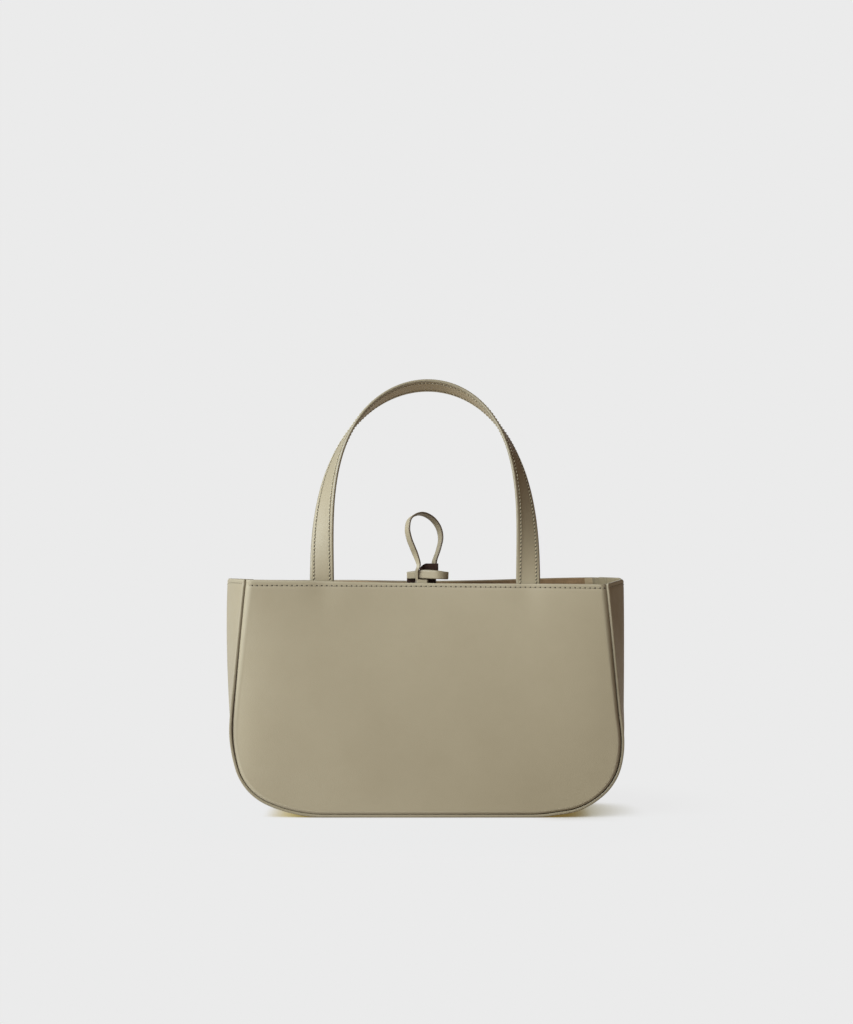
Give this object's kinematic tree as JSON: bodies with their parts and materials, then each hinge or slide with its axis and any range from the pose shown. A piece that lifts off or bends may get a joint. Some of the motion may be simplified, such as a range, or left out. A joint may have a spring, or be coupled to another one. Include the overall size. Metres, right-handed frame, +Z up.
{
  "type": "tote bag",
  "caption": "Small soft leather tote bag with a rounded base, folding side gussets, an open top, a flat strap handle and a loop-and-bar closure.",
  "frame": {"origin": "on the floor, under the middle of the bag's base", "axes": "+Z up, front panel facing -Y, +X to the right seen from the front"},
  "size_m": [0.2854, 0.0888, 0.3091],
  "materials": {
    "body_leather": "smooth matt khaki calf leather with a fine grain",
    "strap_leather": "smooth khaki strap leather with stitched and painted edges",
    "flesh_leather": "dark brown flesh side of the leather, matt and slightly fibrous"
  },
  "bodies": {
    "root": {"front_panel": "body_leather", "back_panel": "body_leather", "gusset": "body_leather", "handle": "strap_leather", "closure_loop": "strap_leather", "closure_bar": "strap_leather", "closure_tab": "flesh_leather"}
  },
  "joints": []
}
